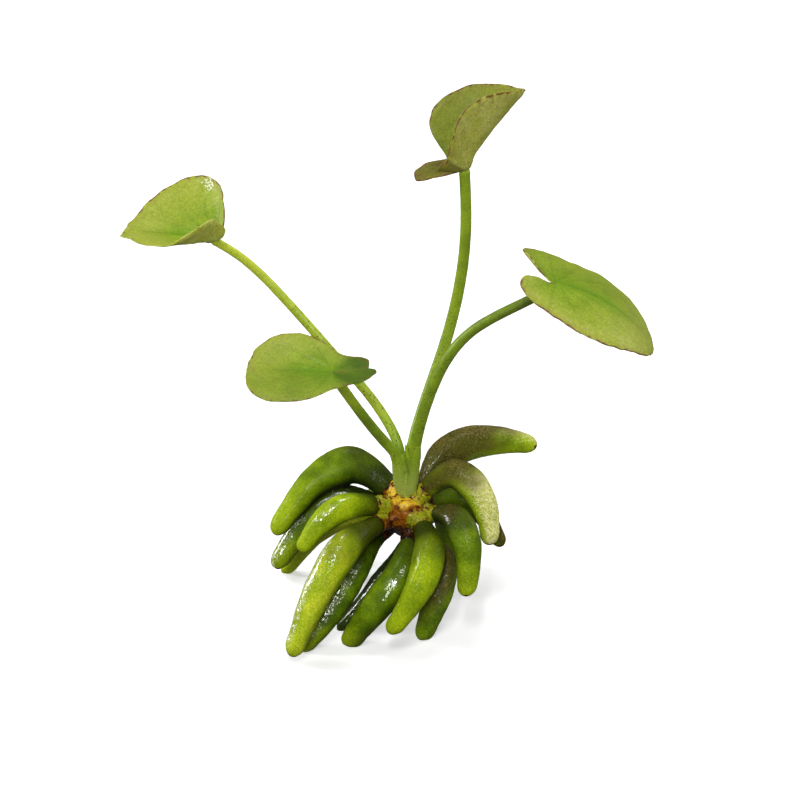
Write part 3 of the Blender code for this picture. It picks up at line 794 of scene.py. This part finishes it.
def vertices_of(made):
    """The vertices of a skin and their normals, in millimetres around the crown's axis."""
    count = len(made.data.vertices)
    places = np.empty(count * 3)
    normals = np.empty(count * 3)
    made.data.vertices.foreach_get("co", places)
    made.data.vertices.foreach_get("normal", normals)
    return places.reshape(-1, 3) / MM - AXIS, normals.reshape(-1, 3)


def move_vertices(made, places):
    made.data.vertices.foreach_set("co", ((places + AXIS) * MM).ravel())
    made.data.update()


def lathe(name, profile, centre, sides=48, rings=40):
    """A closed skin turned round an upright axis from a smoothed profile."""
    profile = np.array([(radius, 0.0, height) for radius, height in profile])
    line, _ = smooth_line(profile, np.linspace(0, 1, rings)[1:-1])
    radius = np.maximum(line[:, :1], 0.05)
    angles = np.linspace(0, 2 * math.pi, sides, endpoint=False)
    grid = np.empty((len(line), sides, 3))
    grid[..., 0] = centre[0] + radius * np.cos(angles)
    grid[..., 1] = centre[1] + radius * np.sin(angles)
    grid[..., 2] = centre[2] + line[:, 2:3]
    return closed_tube(name, grid)


def tube(name, places, radii, sides=24, rings=24):
    shares = np.linspace(0, 1, rings)
    points, _ = smooth_line(places, shares)
    out, _ = ring_directions(points, sides)
    width = np.interp(shares, np.linspace(0, 1, len(radii)), radii)
    return closed_tube(name, points[:, None] + out * width[:, None, None])


def neck_direction(root):
    start, ahead = root_line(root, [0.0, 0.02])[0]
    return unit(ahead - start)


def stub(root, middle):
    """The crown's stub for a root, from inside the lump to just into the root's neck."""
    end = np.array(root.neck_at)
    ahead = neck_direction(root)
    neck = root.width / 2 * root.neck
    swell = 1.12 if root.name in GREEN_STUBS else 1.02
    places = [middle + (end - middle) * 0.3, end - ahead * 1.6, end - ahead * 0.5, end + ahead * 0.3]
    return tube("stub", places, [1.25 * neck, swell * neck, neck, 0.92 * neck])


def stub_masks(places):
    """Where ring scars run round the stubs, and where the stubs are green."""
    scar = np.zeros(len(places))
    green = np.zeros(len(places))
    wobble = 0.35 * lumps(places, 1.2, 21)
    for root in ROOTS:
        ahead = neck_direction(root)
        behind = (np.array(root.neck_at) - places) @ ahead
        off_axis = np.linalg.norm(places + behind[:, None] * ahead - np.array(root.neck_at), axis=1)
        on_stub = before(off_axis, root.width / 2 * root.neck * 1.5, 0.5)
        on_stub = on_stub * before(behind, 3.4, 1.6) * after(behind, -1.0, 0.5)
        is_green = root.name in GREEN_STUBS
        rings = ridge(behind - 0.1 + 0.8 * wobble, 0.22)
        rings = rings + 0.5 * is_green * ridge(behind - 1.5 + 1.6 * wobble, 0.14)
        scar = np.maximum(scar, rings * on_stub)
        green = np.maximum(green, on_stub * (0.95 if is_green else 0.1))
    return scar * smooth(0.45 + 1.3 * lumps(places, 1.3, 31)), green


def add_crown(surface):
    """The crown, with scars and arcs pressed into it, yellow on top and near black below."""
    middle = np.array([0, 0, CROWN_HEIGHT])
    parts = [lathe("lump", CROWN_PROFILE, middle)] + [stub(root, middle) for root in ROOTS]
    made = remeshed("crown_skin", parts, voxel=0.16, smoothing=8)
    places, normals = vertices_of(made)
    scar, green = stub_masks(places)
    from_axis = np.hypot(places[:, 0], places[:, 1])
    on_top = after(places[:, 2], CROWN_TOP, 1.6) * before(from_axis, 5.2, 1.0)
    rounds = (from_axis + 0.5 * lumps(places, 2.0, 3)) / ARC_SPACING
    arcs = after(np.sin(2 * math.pi * rounds), 0.55, 0.4)
    arcs = arcs * on_top * smooth(0.3 + lumps(places, 1.6, 25))
    relief = 0.14 * lumps(places, 1.5, 5) + 0.07 * lumps(places, 0.7, 6)
    move_vertices(made, places + normals * (relief - 0.14 * scar - 0.08 * arcs)[:, None])
    yellow = before(from_axis, YELLOW_RADIUS + 0.6 * lumps(places, 1.5, 35), 0.8)
    height = places[:, 2] + lumps(places, 2.2, 23)
    # Darker towards the bottom and low down.
    bottom = before(height, 20.8, 2.2)
    low = before(height, 23.0, 2.0)
    right = after(places[:, 0], 0.3, 2.0)
    specks = after(lumps(places, 0.6, 27), 0.38, 0.12)
    rust = after(0.5 * lumps(places, 2.2, 33) + from_axis, 4.2, 1.2)
    brown = 0.8 * scar + (0.5 + 0.4 * right) * arcs + bottom * (1 - 0.5 * green)
    brown = brown + 0.5 * specks * (1 - 0.8 * green)
    brown = brown + (0.2 * low + 0.3 * rust + 0.22 * right * on_top) * (1 - green)
    set_masks(made, {
        "yellow": yellow * after(places[:, 2], CROWN_TOP + 0.2, 1.2),
        "green": green,
        "brown": np.clip(brown, 0, 1.1),
    })
    finish_piece(made, surface)


def base_paleness(height):
    """The shoot is paler towards its bottom."""
    return 0.1 + 0.8 * before(height, 35, 8)


def stalk_base(stalk):
    """The base of a stalk, from inside the sheath's body to where it closes round the stalk."""
    first, second = np.array(stalk.places[:2])
    outwards = unit((first[0], first[1], 0))
    places = [outwards * 0.9 + (0, 0, 26.2), outwards * 1.8 + (0, 0, 30.0), first + outwards * 0.3,
              first + unit(second - first) * 3.4]
    wide = stalk.base_width / 2
    return tube("base", places, [1.25, 1.25, 1.25, wide + 0.1, wide - 0.25])


def add_sheath(surface):
    """The swollen bottom of the shoot, which divides into the bases of the four stalks."""
    angles = np.linspace(0, 2 * math.pi, 40, endpoint=False)
    circle = np.stack([np.cos(angles), 0.9 * np.sin(angles), 0 * angles], axis=-1)
    rings = np.array([wide * circle + (0, 0, height) for wide, height in SHEATH_BODY])
    parts = [closed_tube("body", rings)] + [stalk_base(stalk) for stalk in STALKS]
    parts.append(tube("young", YOUNG_LEAF, [0.9, 0.85, 0.10]))
    made = remeshed("sheath_skin", parts, voxel=0.13, smoothing=5)
    places, normals = vertices_of(made)
    height = places[:, 2]
    seam = np.interp(height, [30.0, 32.0, 37.6], [0.4, 0.2, -0.8])
    crease = ridge(places[:, 0] - seam, 0.22) * after(height, 29.5, 2.5) * (places[:, 1] < 0)
    move_vertices(made, places + normals * (0.05 * lumps(places, 1.6, 9) - 0.3 * crease)[:, None])
    set_masks(made, {
        # Painted shade: the crease is darker.
        "tone": BASE_TONE - 0.3 * crease,
        "pale": base_paleness(height),
        "dots": 0.1 + 0.6 * after(height, 30, 4),
    })
    finish_piece(made, surface)


# Stalks and blades

def blade_directions(blade):
    """The blade's own directions: along the midrib, to its left, and out of its upper face."""
    towards = Vector(blade.towards).normalized()
    face = Vector(blade.face)
    face = (face - towards * face.dot(towards)).normalized()
    return np.array([towards, face.cross(towards), face])


def add_stalk(stalk, seed, surface):
    blade = next(b for b in BLADES if b.name == stalk.name)
    top = np.array(blade.at) - blade_directions(blade)[2] * 0.15
    in_sheath = np.array(stalk.places[0]) * (0.8, 0.8, 0) + (0, 0, 31.0)
    shares = np.linspace(0, 1, STALK_RINGS)
    points, length = smooth_line([in_sheath, *stalk.places, top], shares)
    out, angles = ring_directions(points, STALK_SIDES)
    to_top = (1 - shares) * length
    radii = mix(stalk.base_width, stalk.tip_width, shares) / 2
    radii = radii * (1 + 0.07 * before(to_top, 1.8, 1.0))
    radii = radii * np.sqrt(1 - np.clip(1 - to_top / 0.9, 0, 0.97) ** 2)
    radii = radii * mix(0.75, 1.0, after(shares * length, 0, 3.0))
    ridges = 1 + 0.05 * np.cos(3 * angles + seed + 0.6 * shares[:, None])
    grid = points[:, None] + out * (radii[:, None] * ridges)[..., None]
    grid = grid + out * (0.03 * lumps(grid, 1.5, seed + 60))[..., None]
    made = closed_tube(f"stalk_{stalk.name}_skin", grid)
    share = np.broadcast_to(shares[:, None], grid.shape[:2])
    # The tone changes towards the top; on the left front stalk that is painted light.
    tone = mix(stalk.tone, stalk.tone_at_top, after(share, 0.5, 0.4))
    set_tube_masks(made, {
        "tone": mix(BASE_TONE, tone, after(grid[..., 2], 36, 5)),
        "pale": base_paleness(grid[..., 2]),
        "dots": stalk.dots * mix(1.0, 0.35, after(share, 0.45, 0.3)),
    })
    finish_piece(made, surface)


def last_bearings(blade):
    """The bearings of a blade's inner edges, right and left; those to the right are negative."""
    return blade.notches[1] - 180, 180 - blade.notches[0]


def all_round(blade, bearing, tip, left, right):
    """A smooth value at bearings from the midrib, from the blade's values."""
    first, last = last_bearings(blade)
    knots = [first, *(-place for place in reversed(BEARINGS)), 0, *BEARINGS, last]
    values = np.array([*reversed(right), tip, *left], float)[:, None]
    return spline(knots, values, np.clip(bearing, first, last))[..., 0]


def polar(bearing, distance, up=0.0):
    """Places at bearings from the midrib and level distances from the stalk."""
    angle = np.radians(bearing)
    return np.stack([distance * np.cos(angle), distance * np.sin(angle), up + 0 * distance], axis=-1)


def bent_blade(blade, bearing, distance):
    """The places at distances along a blade from its stalk, before the blade is turned."""
    steepest = np.radians(all_round(blade, bearing, blade.rise_tip, blade.rise_left, blade.rise_right))
    forwards = np.maximum(0, np.cos(np.radians(bearing)))
    droop = math.radians(blade.droop) * forwards / blade.reach_tip
    steps = 12
    out = up = 0.0
    for k in range(steps):
        along = distance * (k + 0.5) / steps
        slope = steepest * after(along, 0, blade.rounding) - droop * along
        out = out + np.cos(slope) * distance / steps
        up = up + np.sin(slope) * distance / steps
    return polar(bearing, out, up)


def blade_normals(blade, bearing, distance):
    """Directions out of a blade's upper face, before the blade is turned."""
    off_stalk = np.maximum(distance, 0.1)
    start = bent_blade(blade, bearing, off_stalk)
    outwards = bent_blade(blade, bearing, off_stalk + 0.05) - start
    sideways = bent_blade(blade, bearing + 1, off_stalk) - start
    out = np.cross(outwards, sideways)
    return out / np.linalg.norm(out, axis=-1)[..., None]


def blade_edge(blade, spokes, bearing, seed):
    """How far a blade's ragged edge is from the stalk along each spoke, rounded at the lobes."""
    edge = all_round(blade, bearing, blade.reach_tip, blade.reach_left, blade.reach_right)
    edge *= 1 - 0.26 * after(np.abs(spokes), 0.9, 0.1) ** 2
    even = polar(bearing, edge)
    ragged = 0.3 * lumps(even, 1.6, seed) + 0.24 * lumps(even, 4.0, seed + 1)
    return edge + np.where(spokes < 0, blade.look.rim[1], blade.look.rim[0]) * ragged


def vein_strength(blade, bearing, distance):
    """How much a place lies on a vein: the midrib, and veins that fan out from the stalk."""
    across = distance * np.radians(bearing)
    strength = ridge(across, 0.5) * before(distance, blade.reach_tip, 8)
    side_reach = before(distance, 15, 8)
    for start, bend in SIDE_VEINS:
        line = start - bend * np.sin(distance / 6.0)
        across = distance * np.radians(np.abs(bearing) - line)
        strength = np.maximum(strength, 0.5 * ridge(across, 0.35) * side_reach)
    return strength * after(distance, 0, 1.0)


def blade_masks(blade, seed, flat, bearing, reach, edge, off_midrib):
    """What the blade's material reads, from its look and from each vertex's place on it."""
    look = blade.look
    left = after(bearing, -30, 60)
    # Painted shade on one half and on the lobes, where shade falls.
    deep, pale, rim = (mix(pair[1], pair[0], left) for pair in (look.deep, look.pale, look.rim))
    deep = deep + look.lobes * after(np.abs(bearing), 95, 30)
    on_midrib = 0.8 * ridge(off_midrib, 2.6) * (np.abs(bearing) < 90)
    on_midrib = on_midrib * before(reach, 0.75 * blade.reach_tip, 8)
    out_to = reach / edge + 0.15 * lumps(flat, 4.0, seed + 5)
    from_wet_sparkle_patch = np.hypot(np.radians(bearing - look.wet_at[0]) * reach, reach - look.wet_at[1] * edge)
    return {
        "heart": np.maximum(np.exp(-reach / 4.0), on_midrib),
        "deep": np.clip(deep * (0.8 + 0.5 * lumps(flat, 6.0, seed + 4)), 0, 1),
        "pale": pale * after(out_to, 0.35, 0.6),
        "rim": rim,
        "wet": look.wet * before(from_wet_sparkle_patch, 2.6 + 2.0 * lumps(flat, 2.2, seed + 6), 1.6),
        "olive": np.full_like(reach, look.olive),
    }


def add_blade(blade, seed, surface):
    first, last = last_bearings(blade)
    spokes = np.linspace(-1, 1, BLADE_SPOKES)
    widest = np.where(spokes < 0, -first, last)
    edge = blade_edge(blade, spokes, spokes * widest, seed)
    rings = 1 - (1 - np.linspace(0, 1, BLADE_RINGS + 1)) ** 1.25
    reach = rings[:, None] * edge
    bearing = spokes * mix(180, widest, after(reach, 0.7, 0.9))
    flat = polar(bearing, reach)
    forwards = flat[..., 0]
    off_midrib = np.abs(flat[..., 1])
    from_edge = edge - reach
    margin = np.minimum(from_edge, np.radians((1 - np.abs(spokes)) * widest) * reach)
    vein = vein_strength(blade, bearing, reach)
    keel = ridge(off_midrib, 0.8) * before(forwards, 4.0, 4.0) * after(forwards, -0.8, 0.8)
    waves = 0.3 * before(from_edge, 4.0, 4.0) * lumps(flat, 3.6, seed + 2)
    puckers = 0.1 * lumps(flat, 1.8, seed + 3) * after(reach, 0, 3)
    thick = BLADE_THICKNESS / 2 * (0.35 + 0.5 * after(margin, 0, 1.4)) + 0.12 * np.exp(-reach / 1.5)
    here = bent_blade(blade, bearing, reach)
    out = blade_normals(blade, bearing, reach)
    upper = here + out * (waves + puckers + thick - 0.07 * vein)[..., None]
    lower = here + out * (waves + puckers - thick - 0.12 * vein - KEEL_DEPTH * keel)[..., None]
    both = np.concatenate([upper.reshape(-1, 3), lower.reshape(-1, 3)])
    faces = blade_faces(*reach.shape)
    made = mesh_object(f"blade_{blade.name}_skin", blade.at + both @ blade_directions(blade), faces)
    masks = blade_masks(blade, seed, flat, bearing, reach, edge, off_midrib)
    masks.update(vein=vein, keel=np.minimum(1, 1.2 * keel), edge=margin)
    masks = {name: np.tile(values.ravel(), 2) for name, values in masks.items()}
    set_masks(made, {**masks, "under": np.repeat([0.0, 1.0], reach.size)})
    weld(made)
    finish_piece(made, surface)


def blade_faces(rings, spokes):
    """Faces of the upper and the lower side, and the rim between them."""
    count = rings * spokes
    faces = []
    for ring in range(rings - 1):
        for spoke in range(spokes - 1):
            a = ring * spokes + spoke
            corners = (a, a + spokes, a + spokes + 1, a + 1)
            faces.append(corners)
            faces.append(tuple(count + corner for corner in reversed(corners)))
    left = range(0, count, spokes)
    outer = range(count - spokes + 1, count)
    right = range(count - spokes - 1, 0, -spokes)
    edge = [*left, *outer, *right]
    for here, beside in zip(edge, edge[1:]):
        faces.append((here, count + here, count + beside, beside))
    return faces


def weld(made):
    """Closes the seams where vertices lie on each other."""
    work = bmesh.new()
    work.from_mesh(made.data)
    bmesh.ops.remove_doubles(work, verts=work.verts, dist=0.002 * MM)
    bmesh.ops.recalc_face_normals(work, faces=work.faces)
    work.to_mesh(made.data)
    work.free()


# Stage

def add_floor():
    half = 3.0
    mesh = bpy.data.meshes.new("floor")
    corners = [(-half, -half, 0), (half, -half, 0), (half, half, 0), (-half, half, 0)]
    mesh.from_pydata(corners, [], [(0, 1, 2, 3)])
    floor = new_object("floor", mesh)
    surface, tree, shader = new_surface(
        "pale_floor", Roughness=0.7, Specular_IOR_Level=0.1, Emission_Color=(1, 1, 1, 1),
        Emission_Strength=0.45)
    base = blend(tree, grain(tree, 40.0), (0.88, 0.88, 0.88, 1), (0.92, 0.92, 0.92, 1))
    feed(tree, shader, Base_Color=base)
    mesh.materials.append(surface)
    floor.visible_diffuse = False
    floor.visible_glossy = False


def view_target():
    return (Vector(VIEW_TARGET) + Vector(AXIS)) * MM


def aim(made, place):
    """Puts a lamp or the camera at a place, facing the middle of the plant."""
    made.location = place
    made.rotation_euler = (view_target() - place).to_track_quat("-Z", "Y").to_euler()


def add_lamp(row):
    lamp = bpy.data.lights.new(row.name, "AREA")
    lamp.shape = "RECTANGLE"
    lamp.size = row.width * MM
    lamp.size_y = row.height * MM
    lamp.energy = row.brightness * math.pi * (LAMP_DISTANCE * MM) ** 2
    made = new_object(row.name, lamp)
    made.visible_glossy = row.mirrored
    aim(made, view_target() + Vector(row.direction).normalized() * LAMP_DISTANCE * MM)


def add_world():
    world = bpy.data.worlds.new("studio")
    bpy.context.scene.world = world
    world.use_nodes = True
    background = world.node_tree.nodes["Background"]
    feed(world.node_tree, background, Color=(1, 1, 1, 1), Strength=0.12)


def add_camera():
    tilt = math.radians(VIEW_ELEVATION)
    back = Vector((0, -math.cos(tilt), math.sin(tilt)))
    lens = bpy.data.cameras.new("camera")
    lens.sensor_width = SENSOR_WIDTH
    lens.lens = LENS
    camera = new_object("camera", lens)
    aim(camera, view_target() + back * VIEW_DISTANCE * MM)
    bpy.context.scene.camera = camera


def main():
    bpy.context.scene.view_settings.view_transform = "Standard"
    add_camera()
    add_world()
    add_floor()
    for row in LAMPS:
        add_lamp(row)
    skin = root_surface()
    for seed, root in enumerate(ROOTS):
        add_root(root, seed, skin)
    add_crown(crown_surface())
    stems = stalk_surface()
    add_sheath(stems)
    for seed, stalk in enumerate(STALKS):
        add_stalk(stalk, seed, stems)
    leaves = blade_surface()
    for seed, blade in enumerate(BLADES):
        add_blade(blade, seed * 7, leaves)


main()
